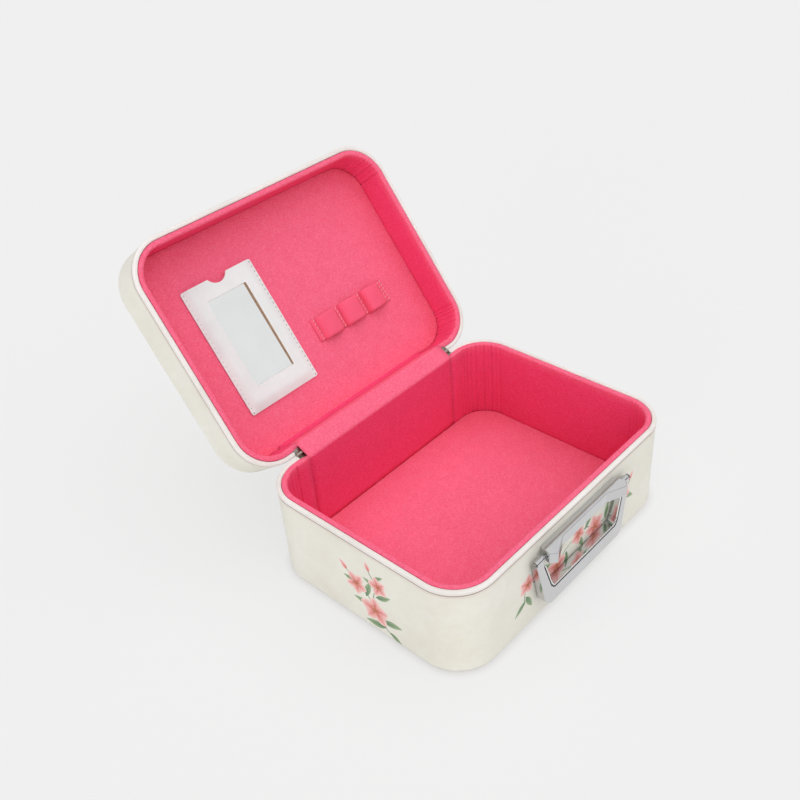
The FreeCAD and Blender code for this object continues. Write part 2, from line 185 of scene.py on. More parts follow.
# Materials
def felt(name, deep, middle, light, painted_wall_shade=None):
    """Needle felt of clumped fibres with faint blotches. Where a wall shade tint is given, it is multiplied
    on as painted shade wherever the mesh doesn't mark the felt as unshaded: the inner walls below their lips."""
    material, tree, bsdf = shader(name)
    where = coords(tree)
    clumps = noise_tex(tree, where, scale=850, detail=6, rough=0.7)
    blotch = noise_tex(tree, where, scale=95, detail=3, rough=0.6)
    strands = []
    for fineness, lean in (((420, 3200, 1500), (0.3, 0.2, 0.5)), ((2900, 380, 1700), (0.1, 0.4, 0.9))):
        strands.append(noise_tex(tree, coords(tree, fineness, lean), scale=1.0, detail=3, rough=0.6))
    nap = weighted(tree, clumps, 0.6, math_node(tree, "MULTIPLY", *strands), 1.4)
    colour = ramp(tree, nap, [(0.36, deep), (0.64, middle), (0.95, light)])
    shade = ramp(tree, blotch, [(0.3, (0.965, 0.93, 0.94)), (0.7, PLAIN)])
    colour = mix(tree, 1.0, colour, shade, "MULTIPLY")
    # Painted shade: the tint darkens and reddens the felt outside the unshaded share that the mesh keeps
    if painted_wall_shade:
        unshaded_share = add(tree, "Attribute", attribute_name="unshaded_share").outputs["Fac"]
        colour = mix(tree, 1.0, colour, mix(tree, unshaded_share, painted_wall_shade, PLAIN), "MULTIPLY")
    fill(tree, bsdf, {"Base Color": colour, "Roughness": 0.96, "Specular IOR Level": 0.08,
                      "Sheen Weight": 0.05, "Sheen Roughness": 0.6, "Sheen Tint": (1.0, 0.62, 0.7, 1)})
    bump(tree, bsdf, nap, strength=0.4, distance=0.0005)
    return material


def leatherette(name, low, middle, high, rough=0.44):
    """Coated leatherette: fine pebble grain, soft cloudy tone and faint rubbed spots."""
    material, tree, bsdf = shader(name)
    where = coords(tree)
    cloud = noise_tex(tree, where, scale=24, detail=4, rough=0.6)
    weave = noise_tex(tree, where, scale=170, detail=3, rough=0.55)
    tone = weighted(tree, cloud, 0.75, weave, 0.25)
    colour = ramp(tree, tone, [(0.36, low), (0.5, middle), (0.64, high)])
    pores = noise_tex(tree, where, scale=2600, detail=3, rough=0.6)
    grain = weighted(tree, pebbles(tree, where), 0.7, pores, 0.3)
    dimple = ramp(tree, grain, [(0.1, (0.955, 0.955, 0.95)), (0.5, PLAIN)])
    colour = mix(tree, 1.0, colour, dimple, "MULTIPLY")
    gloss = ramp(tree, weave, [(0.3, grey(rough - 0.06)), (0.7, grey(rough + 0.08))])
    fill(tree, bsdf, {"Base Color": colour, "Roughness": gloss, "Specular IOR Level": 0.4})
    bump(tree, bsdf, grain, strength=0.22, distance=0.00025)
    return material


def metal(name, colour, smooth, rough, fineness):
    """Plated metal with faint smudges or, where one way is coarser, brushed streaks."""
    material, tree, bsdf = shader(name)
    smudge = noise_tex(tree, coords(tree, fineness), scale=1.0, detail=4, rough=0.6)
    gloss = ramp(tree, smudge, [(0.3, grey(smooth)), (0.75, grey(rough))])
    tone = ramp(tree, smudge, [(0.3, colour), (0.8, darker(colour, 0.93))])
    fill(tree, bsdf, {"Base Color": tone, "Roughness": gloss, "Metallic": 1.0})
    return material


def board(name, colour):
    """Pressed card with fibre flecks."""
    material, tree, bsdf = shader(name)
    fleck = noise_tex(tree, coords(tree), scale=900, detail=5, rough=0.7)
    tone = ramp(tree, fleck, [(0.35, darker(colour, 0.72)), (0.65, colour)])
    fill(tree, bsdf, {"Base Color": tone, "Roughness": 0.9})
    bump(tree, bsdf, fleck, strength=0.3, distance=0.0002)
    return material


def woven_tape(name, deep, light):
    """Elastic tape with ribs along its length and a crossing weave, on the tape's own map."""
    material, tree, bsdf = shader(name)
    where = add(tree, "UVMap", uv_map="tape").outputs["UV"]

    def bands(way, scale, distortion):
        inputs = {"Vector": where, "Scale": scale, "Distortion": distortion, "Detail": 1.0}
        return add(tree, "TexWave", inputs, bands_direction=way).outputs["Fac"]

    threads = weighted(tree, bands("Y", 0.30, 0.3), 0.6, bands("X", 0.55, 0.6), 0.25)
    fuzz = noise_tex(tree, coords(tree), scale=1500, detail=4, rough=0.6)
    weave = weighted(tree, threads, 1.0, fuzz, 0.3)
    colour = ramp(tree, weave, [(0.2, deep), (0.9, light)])
    fill(tree, bsdf, {"Base Color": colour, "Roughness": 0.88, "Sheen Weight": 0.1})
    bump(tree, bsdf, weave, strength=0.4, distance=0.0004)
    return material


def thread(name, colour):
    """Twisted sewing thread; also the strips under the piping, one of them painting the seam's shade."""
    material, tree, bsdf = shader(name)
    twist = noise_tex(tree, coords(tree), scale=2400, detail=3, rough=0.6)
    tone = ramp(tree, twist, [(0.3, darker(colour, 0.8)), (0.6, colour)])
    fill(tree, bsdf, {"Base Color": tone, "Roughness": 0.7})
    bump(tree, bsdf, twist, strength=0.4, distance=0.0002)
    return material


def printed(name):
    """Printed colour kept in the mesh, washed unevenly as ink on leatherette is."""
    material, tree, bsdf = shader(name)
    ink = add(tree, "VertexColor", layer_name="ink").outputs["Color"]
    wash = noise_tex(tree, coords(tree), scale=260, detail=4, rough=0.6)
    fade = ramp(tree, wash, [(0.3, (0.9, 0.88, 0.88)), (0.65, PLAIN)])
    colour = mix(tree, 1.0, ink, fade, "MULTIPLY")
    fill(tree, bsdf, {"Base Color": colour, "Roughness": 0.45})
    bump(tree, bsdf, pebbles(tree, coords(tree)), strength=0.2, distance=0.00025)
    return material


FELT_TONES = ((0.84, 0.072, 0.145), (0.94, 0.142, 0.252), (0.98, 0.270, 0.390))
POLISHED, BRUSHED, SILVERED = (60, 60, 60), (40, 900, 900), (25, 25, 25)
PINK_FELT = felt("pink_felt", *FELT_TONES)
# Lit and shaded copies of the felt: the pads keep the plain felt, the liners and the back sheet get painted
# shade below their lips and fold
SHADED_WALL_FELT = felt("wall_felt", *FELT_TONES, painted_wall_shade=(0.94, 0.455, 0.74))
CREAM = leatherette("cream_leatherette", srgb(230, 226, 213), srgb(234, 231, 220), srgb(238, 236, 226))
WHITE = leatherette("white_leatherette", srgb(230, 224, 219), srgb(236, 230, 226), srgb(240, 235, 232), 0.48)
POCKET = leatherette("pocket_leatherette", srgb(229, 234, 234), srgb(234, 239, 239), srgb(239, 243, 243), 0.5)
TAPE = woven_tape("pink_elastic", (0.90, 0.070, 0.155), (0.97, 0.140, 0.255))
CHROME = metal("chrome", (0.66, 0.66, 0.67), 0.05, 0.14, POLISHED)
# Near-black copy of chrome: painted dark reflection along the bail's inner edge
DARK_REFLECTION_CHROME = metal("painted_dark_reflection_chrome", (0.035, 0.033, 0.033), 0.12, 0.25, POLISHED)
# Brighter copy of chrome: painted highlight on the bail's rolled inner edge
HIGHLIGHT_CHROME = metal("painted_highlight_chrome", (0.90, 0.90, 0.90), 0.04, 0.1, POLISHED)
# Darker copy of chrome: painted dark reflection on the handle's pivot pins
PIN_DARK_REFLECTION_CHROME = metal("painted_dark_pin_chrome", (0.36, 0.35, 0.34), 0.06, 0.14, POLISHED)
STEEL = metal("plated_steel", (0.46, 0.43, 0.38), 0.24, 0.42, BRUSHED)
MIRROR = metal("mirror", (0.88, 0.89, 0.89), 0.01, 0.03, SILVERED)
GREY_BOARD = board("grey_board", (0.42, 0.40, 0.37))
BROWN_CARD = board("brown_card", srgb(222, 200, 164))
PINK_THREAD = thread("pink_thread", srgb(255, 178, 190))
GREY_THREAD = thread("grey_thread", srgb(158, 152, 152))
# Greyish-brown strip that paints the shade in the seam under the piping
SEAM_SHADE = thread("painted_seam_shade", srgb(182, 164, 153))
FOLD_PAINT = thread("fold_paint", srgb(232, 212, 206))
PRINT = printed("print")


# Mesh building
def piece(name, verts, faces, place, material, body, slot, smooth=True):
    """New object from points in millimetres, riding on a body where one is given."""
    mesh = bpy.data.meshes.new(name)
    mesh.from_pydata([place @ Vector(v) for v in verts], [], faces)
    mesh.polygons.foreach_set("use_smooth", [smooth] * len(mesh.polygons))
    mesh.materials.append(material)
    obj = bpy.data.objects.new(name, mesh)
    bpy.context.scene.collection.objects.link(obj)
    face_out(mesh)
    if body:
        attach(obj, body)
    return obj


def face_out(mesh):
    """Turns every face outward."""
    work = bmesh.new()
    work.from_mesh(mesh)
    bmesh.ops.recalc_face_normals(work, faces=work.faces)
    work.to_mesh(mesh)
    work.free()
    mesh.update()


def set_unshaded_share(obj, shares):
    """Keeps, for each point, how much of it is left out of the felt's painted shade."""
    layer = obj.data.attributes.new("unshaded_share", "FLOAT", "POINT")
    layer.data.foreach_set("value", shares)


def wobble(x, y, z, size, amount):
    """Smooth unevenness of one size, up to an amount."""
    return amount * noise.noise(Vector((x / size, y / size, z / size)))


def skin(rings):
    """Closed surface over rings of equal length, numbered ring by ring, with a face at each end."""
    count = len(rings[0])
    verts = [p for ring in rings for p in ring]
    faces = []
    for r in range(len(rings) - 1):
        for k in range(count):
            n = (k + 1) % count
            faces.append((r * count + k, r * count + n, (r + 1) * count + n, (r + 1) * count + k))
    faces.append(tuple(range(count)))
    faces.append(tuple(range((len(rings) - 1) * count, len(rings) * count)))
    return verts, faces


def tangent_at(line, i):
    """Direction of a line of points at one of them."""
    return (line[min(i + 1, len(line) - 1)] - line[max(i - 1, 0)]).normalized()


def plan_path(straight_step, corner_steps, back_half):
    """Stations round the case's plan from the back right to the back left: place, outward normal and
    degrees turned in a corner, or None on a straight. A back_half of 0 closes the path."""
    half_w, half_d = CASE_W / 2, CASE_D / 2
    flat_x, flat_y = half_w - CORNER_R, half_d - CORNER_R
    stations = []

    def straight(a, b, normal):
        steps = max(1, round(math.dist(a, b) / straight_step))
        for k in range(steps):
            t = k / steps
            stations.append((a[0] + t * (b[0] - a[0]), a[1] + t * (b[1] - a[1]), *normal, None))

    def corner(x, y, start):
        for k in range(corner_steps):
            turn = 90.0 * k / corner_steps
            a = math.radians(start - turn)
            nx, ny = math.cos(a), math.sin(a)
            stations.append((x + CORNER_R * nx, y + CORNER_R * ny, nx, ny, turn))

    straight((back_half, half_d), (flat_x, half_d), (0, 1))
    corner(flat_x, flat_y, 90)
    straight((half_w, flat_y), (half_w, -flat_y), (1, 0))
    corner(flat_x, -flat_y, 0)
    straight((flat_x, -half_d), (-flat_x, -half_d), (0, -1))
    corner(-flat_x, -flat_y, -90)
    straight((-half_w, -flat_y), (-half_w, flat_y), (-1, 0))
    corner(-flat_x, flat_y, 180)
    straight((-flat_x, half_d), (-back_half, half_d), (0, 1))
    if back_half > 0:
        stations.append((-back_half, half_d, 0, 1, None))
    return stations


# Wall liners
LIP_R, HEEL_R, HEEL_DROP = 1.75, 0.5, 0.3
BOARD_GAP, LEAF_GAP = 0.1, 1.0
FACE_BAND = 0.2
FELT_JOINT = 0.1
LINER_ROW = 7.0
KERFS, KERF_DEPTH, KERF_WIDTH, LIP_KERF = 11, 0.95, 0.13, 0.4
KERF_DRIFT, KERF_VARIES = 0.16, 0.25


def kerf(turn):
    """Depth of the scored bend lines inside a rounded corner, each scored a little differently."""
    if turn is None:
        return 0.0
    line, phase = divmod(turn / 90.0 * KERFS, 1.0)
    shift = KERF_DRIFT * math.sin(5.1 * line + 1.0)
    depth = KERF_DEPTH * (1 - KERF_VARIES + KERF_VARIES * math.sin(3.3 * line))
    return depth * math.exp(-((phase - 0.5 - shift) / KERF_WIDTH) ** 2)


def liner_section(outer, height):
    """Outline across a liner, from its back over the lip to its foot: distance in, and height."""
    section = [(outer, BOARD_FACE), (outer, height * 0.5), (outer, height - LIP_R)]
    for a in quarter(5):
        drop = HEEL_DROP + HEEL_R - HEEL_R * math.sin(a)
        section.append((outer + HEEL_R - HEEL_R * math.cos(a), height - drop))
    section.append((WALL - LIP_R, height))
    for a in quarter(6, first=1):
        section.append((WALL - LIP_R + LIP_R * math.sin(a), height - LIP_R + LIP_R * math.cos(a)))
    face = height - LIP_R - BOARD_FACE
    rows = max(4, round(height / LINER_ROW))
    return section + [(WALL, height - LIP_R - face * k / rows) for k in range(1, rows + 1)]


def wall_felt(name, height, place, body, node):
    """Felt-covered liner round the front, sides and corners with a soft lip."""
    rings, shares = [], []
    path = plan_path(straight_step=5.0, corner_steps=96, back_half=STRIP_HALF + FELT_JOINT)
    for x, y, nx, ny, turn in path:
        at_leaf = y > 0 and abs(x) < LEAF_HALF
        outer = BOARD_FACE + (LEAF_GAP if at_leaf else BOARD_GAP)
        ring = []
        for inset, z in liner_section(outer, height):
            on_face = inset > WALL - FACE_BAND
            on_lip = inset > WALL - LIP_R
            inset -= kerf(turn) * (1.0 if on_face else LIP_KERF * on_lip)
            if on_face and z > FLOOR_TOP + 1:
                inset += wobble(x, y, z, size=17, amount=0.13)
            lift = wobble(x, y, 40, size=13, amount=0.12) if z > height - LIP_R else 0.0
            ring.append((x - inset * nx, y - inset * ny, z + lift))
            # Share kept out of the painted shade: full at the top of the lip, none down the wall
            shares.append(clamp((z - height + 1.5 * LIP_R) / LIP_R))
        rings.append(ring)
    obj = piece(name, *skin(rings), place, SHADED_WALL_FELT, body, "pink_felt")
    set_unshaded_share(obj, shares)
    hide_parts(node)


# Floor pad and lid panel
PAD_EDGE = WALL + 0.02
PAD_ROUND, PAD_FOOT = 0.3, 0.5
PAD_INSETS = (10, 12, 15, 19, 24)
PAD_SHARES = (0.93, 0.85, 0.76, 0.67, 0.58, 0.48, 0.38, 0.28, 0.18, 0.09)
PAD_CROWN = 0.35


def pad_height(x, y, z):
    """Height of a point of a pad, whose top has a slight crown and ripple."""
    if z <= FLOOR_TOP - 0.01:
        return z
    spread = max(abs(x) / (CASE_W / 2 - PAD_EDGE), abs(y) / (CASE_D / 2 - PAD_EDGE))
    return z + PAD_CROWN * (1 - spread ** 2) + wobble(x, y, 9, size=26, amount=0.16) * (1 - spread ** 6)


def floor_felt(name, place, body, node):
    """Felt pad with a slight crown and soft edges."""
    section = [(PAD_EDGE + PAD_FOOT, BOARD_FACE), (PAD_EDGE, BOARD_FACE + PAD_FOOT),
               (PAD_EDGE, FLOOR_TOP - PAD_ROUND)]
    for a in quarter(5, first=1):
        drop = PAD_ROUND - PAD_ROUND * math.sin(a)
        section.append((PAD_EDGE + PAD_ROUND - PAD_ROUND * math.cos(a), FLOOR_TOP - drop))
    section += [(inset, FLOOR_TOP) for inset in PAD_INSETS]
    path = plan_path(straight_step=6.0, corner_steps=24, back_half=0.0)
    rings = [[(x - inset * nx, y - inset * ny, z) for x, y, nx, ny, _ in path] for inset, z in section]
    inner = rings[-1]
    rings += [[(x * share, y * share, z) for x, y, z in inner] for share in PAD_SHARES]
    rings = [[(x, y, pad_height(x, y, z)) for x, y, z in ring] for ring in rings]
    obj = piece(name, *skin(rings), place, PINK_FELT, body, "pink_felt")
    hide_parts(node)


# Felt over the hinge and the liners behind it
FELT_SHEET, FEATHERED = 1.0, 0.16
SHEET_Y = CASE_D / 2 - (WALL - FELT_SHEET / 2)
SHEET_HALF, SHEET_STEPS = STRIP_HALF - 0.04, 30
SHEET_FOOT, FOLD_Z = FLOOR_TOP - 0.4, 73.3
SHEET_EASE = 0.36
FOLD_BEND, FOLD_STEPS = 1.4, 6
COVE_R, COVE_STEPS = 2.2, 10
COVE_Z = FLOOR_TOP + FEATHERED + 0.06 + COVE_R
SHADE_FADE = 1.5
LINER_T, LINER_SOFT = 2.0, 0.5
LINER_GAP, LINER_SIDE, LINER_FOOT, LINER_DROP = 0.15, 0.4, 0.2, 2.2


def lid_point(y, z):
    """Point of the upturned lid as y and z of the open case."""
    p = LID_PLACE @ Vector((0, y, z)) / MM
    return Vector((p.y, p.z))


BASE_FOLD = Vector((SHEET_Y, FOLD_Z))
LID_FOLD = lid_point(SHEET_Y, LID_H - (BASE_H - FOLD_Z))


def sheet_line():
    """Middle line of the felt from the base's floor to the lid's panel, and where its cove starts."""
    line = []

    def run(a, b, step):
        steps = max(1, round((b - a).length / step))
        line.extend(a.lerp(b, k / steps) for k in range(steps))

    before = Vector((SHEET_Y, SHEET_FOOT))
    cove_top = lid_point(SHEET_Y, COVE_Z)
    for fold, after, step in ((BASE_FOLD, LID_FOLD, 4.0), (LID_FOLD, cove_top, 0.6)):
        enter = fold + (before - fold).normalized() * FOLD_BEND
        leave = fold + (after - fold).normalized() * FOLD_BEND
        run(before, enter, step)
        for k in range(FOLD_STEPS):
            t = k / FOLD_STEPS
            line.append(enter.lerp(fold, t).lerp(fold.lerp(leave, t), t))
        before = leave
    run(before, cove_top, step=3.0)
    cove = len(line)
    for a in quarter(COVE_STEPS):
        line.append(lid_point(SHEET_Y - COVE_R + COVE_R * math.cos(a), COVE_Z - COVE_R * math.sin(a)))
    return line, cove


def back_felt():
    """One sheet of felt up the base's back wall, across the hinge and down the lid's back wall."""
    line, cove = sheet_line()
    length = sum((b - a).length for a, b in zip(line, line[1:]))
    rings, shares = [], []
    for i, p in enumerate(line):
        tangent = tangent_at(line, i)
        normal = Vector((-tangent.y, tangent.x))
        thin = clamp((i - cove) / COVE_STEPS)
        thick = FELT_SHEET / 2 + (FEATHERED - FELT_SHEET / 2) * thin
        front, back = [], []
        for k in range(SHEET_STEPS + 1):
            x = -SHEET_HALF + 2 * SHEET_HALF * k / SHEET_STEPS
            ease = SHEET_EASE * thick if k in (0, SHEET_STEPS) else 0.0
            ripple = wobble(x, p.x, p.y, size=15, amount=0.16) * (1 - thin)
            front.append((x, *(p + normal * (thick - ease + ripple))))
            back.append((x, *(p - normal * (thick - ease))))
        rings.append(front + back[::-1])
        # Painted shade on the base's back wall, fading out just below the fold; the fold and the lid's side
        # keep the felt's full colour
        shares += [clamp((p.y - FOLD_Z + SHADE_FADE) / SHADE_FADE)] * len(rings[-1])
    obj = piece("back_felt", *skin(rings), BASE_PLACE, SHADED_WALL_FELT, None, "pink_felt")
    set_unshaded_share(obj, shares)
    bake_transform(obj)
    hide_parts("hinge_cover_strip")


def back_liner(name, height, place, body, node):
    """Card liner behind the felt of a back wall."""
    front = CASE_D / 2 - WALL + FELT_SHEET + LINER_GAP
    back = front + LINER_T
    outer = STRIP_HALF - LINER_SIDE
    inner = outer - LINER_SOFT
    rings = []
    for x, ease in ((-outer, LINER_SOFT), (-inner, 0), (inner, 0), (outer, LINER_SOFT)):
        low, high = BOARD_FACE + LINER_FOOT + ease, height - LINER_DROP - ease
        section = [(front + ease, low), (front, low + LINER_SOFT), (front, high - LINER_SOFT),
                   (front + ease, high), (back - ease, high), (back, high - LINER_SOFT),
                   (back, low + LINER_SOFT), (back - ease, low)]
        rings.append([(x, y, z) for y, z in section])
    obj = piece(name, *skin(rings), place, GREY_BOARD, body, "pink_felt", smooth=False)
    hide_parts(node)


wall_felt("base_wall_felt", BASE_H, BASE_PLACE, "base", "base_wall_lining")
wall_felt("lid_wall_felt", LID_H, LID_PLACE, "lid", "lid_wall_lining")
floor_felt("base_floor_felt", BASE_PLACE, "base", "base_floor_pad")
floor_felt("lid_panel_felt", LID_PLACE, "lid", "lid_panel_pad")
back_liner("base_back_liner", BASE_H, BASE_PLACE, "base", "base_back_lining")
back_liner("lid_back_liner", LID_H, LID_PLACE, "lid", "lid_back_lining")
back_felt()


# Elastic loops
LOOPS, LOOP_PITCH, FIRST_SEAM = 3, 24.6, -3.0
LOOP_Y, TAPE_W, TAPE_T = 23.6, 19.0, 1.0
LOOP_RISE = (5.0, 5.2, 6.2)
LOOP_LEAN = (0.74, 0.80, 0.52)
ARCH_FLAT, ARCH_ROUND = 2.3, 0.72
LOOP_STEPS, TAPE_STEPS = 30, 10
SEAM_ROWS = ((0.5,), (0.0,), (0.0,), (-0.6, 0.6))
SEAM_HALF, SEAM_DIP = 2.2, 0.2
SEAM_SHARES = (0.0, 0.35, 0.7, 1.0)
CRUMPLE, CRUMPLE_SIZE, CRUMPLE_FROM = 0.5, 6.5, 3.0
TAPE_FOOT = FLOOR_TOP + 0.3
TAPE_EDGE, TAPE_CURL = 0.25, 0.12
TAPE_STITCHES, TAPE_MARGIN = 6, 1.6
TAPE_STITCH_X, TAPE_STITCH_Y, TAPE_STITCH_R = 0.45, 1.05, 0.36
TAPE_STITCH_Z = TAPE_FOOT + TAPE_T - 0.12
STITCH_SIDES, STITCH_ROWS = 8, 7
STITCH_TIP, STITCH_RISE, STITCH_DROP = 0.06, 1.15, 0.75


def stitch_mesh(name, runs, radius, material, slot):
    """Sewn stitches in the lid: each run is a start and an end in millimetres, on cloth that faces up."""
    verts, faces = [], []
    up = Vector((0, 0, 1))
    turns = [2 * math.pi * s / STITCH_SIDES for s in range(STITCH_SIDES)]
    for a, b in runs:
        a, b = Vector(a), Vector(b)
        side = (b - a).normalized().cross(up).normalized()
        rings = []
        for r in range(STITCH_ROWS):
            t = r / (STITCH_ROWS - 1)
            swell = math.sin(math.pi * min(max(t, STITCH_TIP), 1 - STITCH_TIP)) ** 0.5
            centre = a.lerp(b, t) + up * (radius * (STITCH_RISE * swell - STITCH_DROP))
            rings.append([centre + (side * math.cos(turn) + up * math.sin(turn)) * radius * swell
                          for turn in turns])
        first = len(verts)
        stitch_verts, stitch_faces = skin(rings)
        verts += stitch_verts
        faces += [tuple(first + k for k in face) for face in stitch_faces]
    piece(name, verts, faces, LID_PLACE, material, "lid", slot)


def tape_line():
    """Middle line of the tape: a flat stretch at each seam and a leaning arch between each pair."""
    middle = TAPE_FOOT + TAPE_T / 2
    span = LOOP_PITCH - 2 * SEAM_HALF
    line = []
    for k in range(LOOPS + 1):
        seam = FIRST_SEAM - k * LOOP_PITCH
        for t in SEAM_SHARES:
            dip = SEAM_DIP * (1 - (2 * t - 1) ** 2)
            line.append(Vector((seam + SEAM_HALF - 2 * SEAM_HALF * t, middle - dip)))
        if k == LOOPS:
            break
        for i in range(1, LOOP_STEPS):
            t = 0.5 - 0.5 * math.cos(math.pi * i / LOOP_STEPS)
            skew = t ** LOOP_LEAN[k]
            rise = LOOP_RISE[k] * (1 - abs(2 * skew - 1) ** ARCH_FLAT) ** ARCH_ROUND
            line.append(Vector((seam - SEAM_HALF - span * t, middle + rise)))
    return line


def elastic_tape():
    """Tape sewn down at seams with a low, slightly crumpled arch between each pair."""
    line = tape_line()
    rings, travel = [], [0.0]
    for i, p in enumerate(line):
        if i:
            travel.append(travel[-1] + (p - line[i - 1]).length)
        tangent = tangent_at(line, i)
        normal = Vector((tangent.y, -tangent.x))
        lifted = clamp((p.y - TAPE_FOOT - TAPE_T / 2) / CRUMPLE_FROM)
        top, low = [], []
        for k in range(TAPE_STEPS + 1):
            v = k / TAPE_STEPS
            y = LOOP_Y - TAPE_W / 2 + TAPE_W * v
            half = TAPE_T / 2 - (TAPE_EDGE if k in (0, TAPE_STEPS) else 0.0)
            shift = wobble(p.x, y, 2, CRUMPLE_SIZE, CRUMPLE) * lifted - TAPE_CURL * (2 * v - 1) ** 4
            above, below = p + normal * (half + shift), p - normal * (half - shift)
            top.append((above.x, y, above.y))
            low.append((below.x, y, below.y))
        rings.append(top + low[::-1])
    obj = piece("elastic_tape", *skin(rings), LID_PLACE, TAPE, "lid", "pink_elastic")
    layer = obj.data.uv_layers.new(name="tape")
    for loop in obj.data.loops:
        ring, spot = divmod(loop.vertex_index, len(rings[0]))
        across = spot if spot <= TAPE_STEPS else 2 * TAPE_STEPS + 1 - spot
        layer.data[loop.index].uv = (travel[ring], TAPE_W * across / TAPE_STEPS)
    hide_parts("elastic_loops")


def tape_stitches():
    """Slanted stitches across the tape at its seams."""
    runs = []
    for k, rows in enumerate(SEAM_ROWS):
        for row in rows:
            x = FIRST_SEAM - k * LOOP_PITCH - row * SEAM_HALF
            for i in range(TAPE_STITCHES):
                share = (i - 0.12 * row) / (TAPE_STITCHES - 1)
                y = LOOP_Y - TAPE_W / 2 + TAPE_MARGIN + (TAPE_W - 2 * TAPE_MARGIN) * share
                start = (x - TAPE_STITCH_X, y - TAPE_STITCH_Y, TAPE_STITCH_Z)
                end = (x + TAPE_STITCH_X, y + TAPE_STITCH_Y, TAPE_STITCH_Z)
                runs.append((start, end))
    stitch_mesh("tape_stitches", runs, TAPE_STITCH_R, PINK_THREAD, "pink_elastic")


elastic_tape()
tape_stitches()


# Mirror pocket
POCKET_X, POCKET_Y = 50.0, 1.6
POCKET_W, POCKET_L = 65.0, 101.0
LEFT, RIGHT = POCKET_X - POCKET_W / 2, POCKET_X + POCKET_W / 2
OPEN_SIDE, SEWN_END = POCKET_Y - POCKET_L / 2, POCKET_Y + POCKET_L / 2
WINDOW_W, WINDOW_L = 36.0, 70.0
WINDOW_Y = POCKET_Y - 1.4
NOTCH_W, NOTCH_D, NOTCH_STEPS = 17.0, 5.3, 16
NOTCH_CLEAR, NOTCH_SHARE = 1.5, 0.67
GAPE_W, GAPE_L, GAPE_LEAST, GAPE_MORE = 5.0, 0.62 * WINDOW_L, 0.35, 0.75
POCKET_SHEET, POCKET_ROUND, WINDOW_ROUND = 1.1, 1.6, 0.6
MIRROR_FACE = 9.35
SEWN_AT = FLOOR_TOP + 0.42
HEM, HEM_SLOPE = 1.2, 4.3
EDGE_STEP, SHEET_STEP, SHEET_SHIFT = 3.0, 2.2, 0.3
POCKET_INSET, POCKET_PITCH, OPEN_INSET = 1.7, 3.9, 2.4
POCKET_STITCH, POCKET_STITCH_R, STITCH_SUNK = 1.25, 0.34, 0.02
WINDOW_EDGE, WINDOW_FOOT = 0.3, 0.1
NEAR, CLEAR = 0.01, 0.8


def rounded_loop(x0, x1, y0, y1, radius):
    """Points round a rectangle with rounded corners."""
    loop = []
    for cx, cy, start in ((x1 - radius, y1 - radius, 0), (x0 + radius, y1 - radius, 90),
                          (x0 + radius, y0 + radius, 180), (x1 - radius, y0 + radius, 270)):
        for k in range(5):
            a = math.radians(start + 90 * k / 4)
            loop.append((cx + radius * math.cos(a), cy + radius * math.sin(a)))
    dense = []
    for a, b in zip(loop, loop[1:] + loop[:1]):
        count = max(1, round(math.dist(a, b) / EDGE_STEP))
        dense += [(a[0] + (b[0] - a[0]) * k / count, a[1] + (b[1] - a[1]) * k / count) for k in range(count)]
    return dense


def pocket_outline():
    """Outer edge of the pocket with the thumb notch in its open side."""
    half = NOTCH_W / 2
    radius = (half ** 2 + NOTCH_D ** 2) / (2 * NOTCH_D)
    centre_y = OPEN_SIDE + NOTCH_D - radius
    sweep = math.asin(half / radius)

    def on_open_side(y):
        return abs(y - OPEN_SIDE) < NEAR

    loop = [(x, y) for x, y in rounded_loop(LEFT, RIGHT, OPEN_SIDE, SEWN_END, POCKET_ROUND)
            if not (on_open_side(y) and abs(x - POCKET_X) < half + NOTCH_CLEAR)]
    turns = [-sweep + 2 * sweep * k / NOTCH_STEPS for k in range(NOTCH_STEPS + 1)]
    arc = [(POCKET_X + radius * math.sin(t), centre_y + radius * math.cos(t)) for t in turns]

    def before_notch(k):
        x, y = loop[k]
        return x if on_open_side(y) and x < POCKET_X else -math.inf

    spot = max(range(len(loop)), key=before_notch)
    return loop[:spot + 1] + arc + loop[spot + 1:]


def in_loop(loop, x, y):
    """Whether a point lies inside a closed line."""
    odd = False
    for (ax, ay), (bx, by) in zip(loop, loop[1:] + loop[:1]):
        if (ay > y) != (by > y) and x < (bx - ax) * (y - ay) / (by - ay) + ax:
            odd = not odd
    return odd


def in_window(x, y, margin):
    """Whether a point lies inside the window made larger by a margin."""
    return abs(x - POCKET_X) < WINDOW_W / 2 + margin and abs(y - WINDOW_Y) < WINDOW_L / 2 + margin


def pocket_plan():
    """Flat points and triangles of the sheet, without its window and notch."""
    outer = pocket_outline()
    window = rounded_loop(POCKET_X - WINDOW_W / 2, POCKET_X + WINDOW_W / 2,
                          WINDOW_Y - WINDOW_L / 2, WINDOW_Y + WINDOW_L / 2, WINDOW_ROUND)
    points = [Vector(p) for p in outer + window]
    first = len(outer)
    edges = [(k, (k + 1) % first) for k in range(first)]
    edges += [(first + k, first + (k + 1) % len(window)) for k in range(len(window))]
    for i in range(1, int(POCKET_W / SHEET_STEP)):
        for j in range(1, int(POCKET_L / SHEET_STEP)):
            x, y = LEFT + i * SHEET_STEP + SHEET_SHIFT, OPEN_SIDE + j * SHEET_STEP + SHEET_SHIFT
            in_notch = math.hypot(x - POCKET_X, (y - OPEN_SIDE) * 1.4) < NOTCH_W / 2 + 1.2
            near_edge = min(x - LEFT, RIGHT - x, y - OPEN_SIDE, SEWN_END - y) < CLEAR
            if not (in_window(x, y, CLEAR) or in_notch or near_edge):
                points.append(Vector((x, y)))
    flat, _, triangles, *_ = geometry.delaunay_2d_cdt(points, edges, [], 0, 1e-4)
    kept = []
    for triangle in triangles:
        x = sum(flat[k].x for k in triangle) / 3
        y = sum(flat[k].y for k in triangle) / 3
        if in_loop(outer, x, y) and not in_window(x, y, -NEAR):
            kept.append(tuple(triangle))
    return flat, kept


